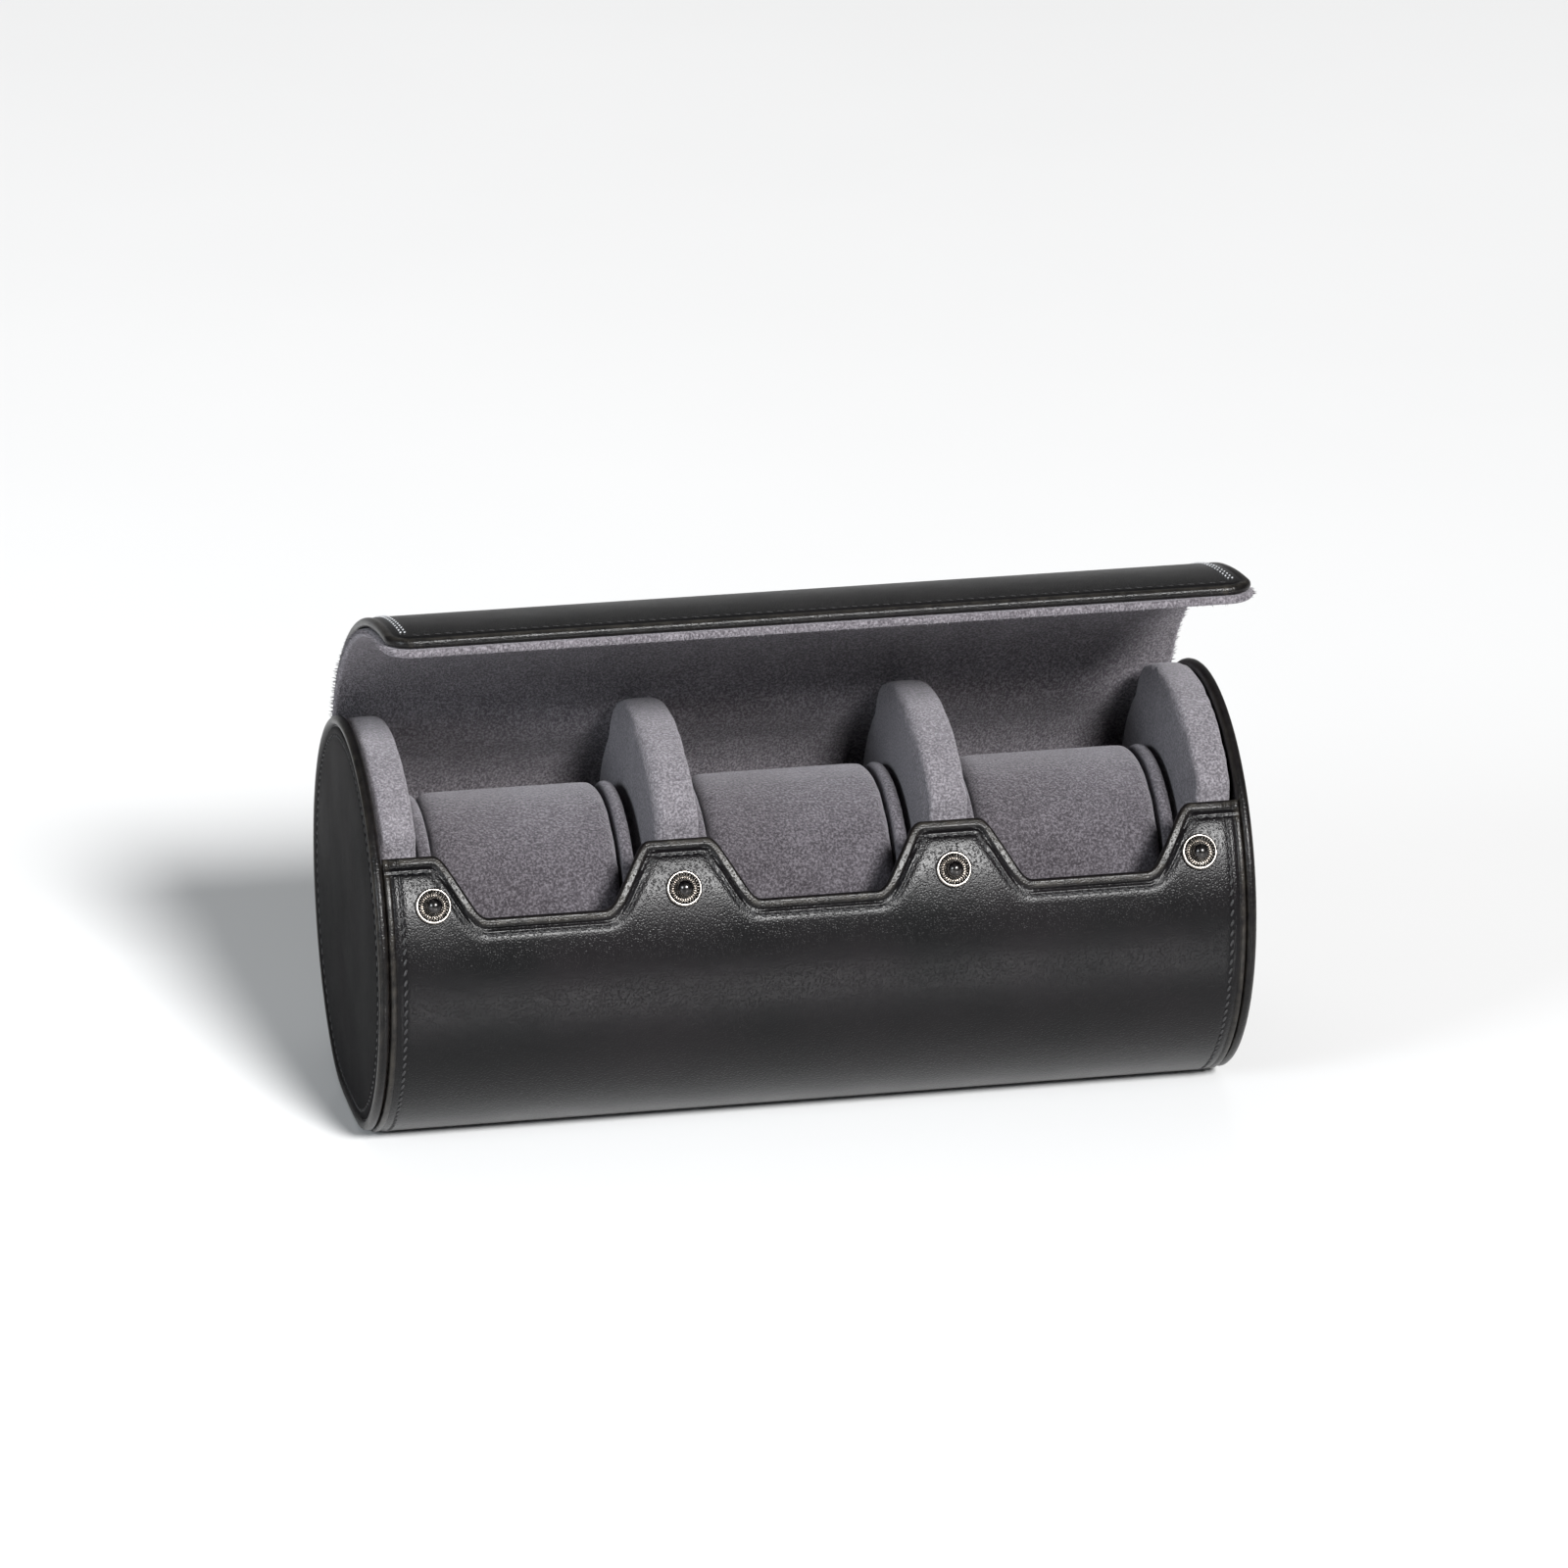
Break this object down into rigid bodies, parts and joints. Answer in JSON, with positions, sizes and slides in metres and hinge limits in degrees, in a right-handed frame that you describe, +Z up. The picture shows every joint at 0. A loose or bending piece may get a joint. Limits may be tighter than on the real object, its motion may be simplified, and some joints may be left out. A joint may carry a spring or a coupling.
{
  "type": "watch roll jewelry box",
  "caption": "Cylindrical leather jewelry box for watches: suede-lined places with lift-out pillows, a scalloped front and a flexible flap that snaps shut.",
  "frame": {"origin": "middle of the flat that the roll stands on", "axes": "+X along the roll to the right, +Y to the back where the flap is hinged, +Z up"},
  "size_m": [0.2118, 0.1035, 0.1364],
  "materials": {
    "leather": "smooth black box leather, satin",
    "piping": "turned black leather edge, a little glossier",
    "board": "grey fibre board, not seen",
    "lining": "charcoal brushed suede on thin wadding",
    "suede": "grey brushed suede",
    "pillow": "grey brushed suede over stuffing",
    "foam": "firm foam, not seen",
    "nickel": "antique nickel, polished",
    "ball": "black nickel, polished"
  },
  "bodies": {
    "roll": {"divider_band_1": "suede", "divider_band_2": "suede", "divider_core_1": "foam", "divider_core_2": "foam", "divider_face_left_1": "suede", "divider_face_left_2": "suede", "divider_face_right_1": "suede", "divider_face_right_2": "suede", "end_board_left": "board", "end_board_right": "board", "end_leather_left": "leather", "end_leather_right": "leather", "end_rim_left": "piping", "end_rim_right": "piping", "pad_band_left": "suede", "pad_band_right": "suede", "pad_core_left": "foam", "pad_core_right": "foam", "pad_face_left": "suede", "pad_face_right": "suede", "shell_board": "board", "shell_edge_piping": "piping", "shell_leather": "leather", "shell_lining": "lining", "stud_post_1": "ball", "stud_post_2": "ball", "stud_post_3": "ball", "stud_post_4": "ball", "stud_ring_1": "nickel", "stud_ring_2": "nickel", "stud_ring_3": "nickel", "stud_ring_4": "nickel"},
    "flap_1": {"flap_board_1": "board", "flap_leather_1": "leather", "flap_lining_1": "lining"},
    "flap_2": {"flap_board_2": "board", "flap_leather_2": "leather", "flap_lining_2": "lining"},
    "flap_3": {"flap_board_3": "board", "flap_leather_3": "leather", "flap_lining_3": "lining"},
    "flap_4": {"flap_board_4": "board", "flap_leather_4": "leather", "flap_lining_4": "lining", "flap_piping": "piping", "socket_ring_1": "nickel", "socket_ring_2": "nickel", "socket_ring_3": "nickel", "socket_ring_4": "nickel"},
    "pillow_1": {"pillow_body_1": "pillow", "pillow_end_left_1": "pillow", "pillow_end_right_1": "pillow"},
    "pillow_2": {"pillow_body_2": "pillow", "pillow_end_left_2": "pillow", "pillow_end_right_2": "pillow"},
    "pillow_3": {"pillow_body_3": "pillow", "pillow_end_left_3": "pillow", "pillow_end_right_3": "pillow"}
  },
  "joints": [
    {"name": "flap_hinge", "type": "hinge", "parent": "roll", "child": "flap_1", "pos_m": [0, 0.03536, 0.08336], "axis": [1, 0, 0], "range_deg": [-90, 14]},
    {"name": "flap_curl", "type": "hinge", "parent": "flap_1", "child": "flap_2", "pos_m": [0, 0.0186, 0.10387], "axis": [1, 0, 0], "range_deg": [0, 22]},
    {"name": "flap_curl_middle", "type": "hinge", "parent": "flap_2", "child": "flap_3", "pos_m": [0, -0.00246, 0.11946], "axis": [1, 0, 0], "range_deg": [0, 14]},
    {"name": "flap_curl_front", "type": "hinge", "parent": "flap_3", "child": "flap_4", "pos_m": [0, -0.02716, 0.12869], "axis": [1, 0, 0], "range_deg": [0, 13.25]},
    {"name": "pillow_1_lift", "type": "slide", "parent": "roll", "child": "pillow_1", "axis": [0, 0.1736, -0.9848], "range_m": [-0.036, 0]},
    {"name": "pillow_2_lift", "type": "slide", "parent": "roll", "child": "pillow_2", "axis": [0, 0.1736, -0.9848], "range_m": [-0.036, 0]},
    {"name": "pillow_3_lift", "type": "slide", "parent": "roll", "child": "pillow_3", "axis": [0, 0.1736, -0.9848], "range_m": [-0.036, 0]}
  ],
  "couplings": [
    {"joint": "flap_curl_middle", "follows": "flap_curl", "ratio": 0.636},
    {"joint": "flap_curl_front", "follows": "flap_curl", "ratio": 0.6}
  ]
}
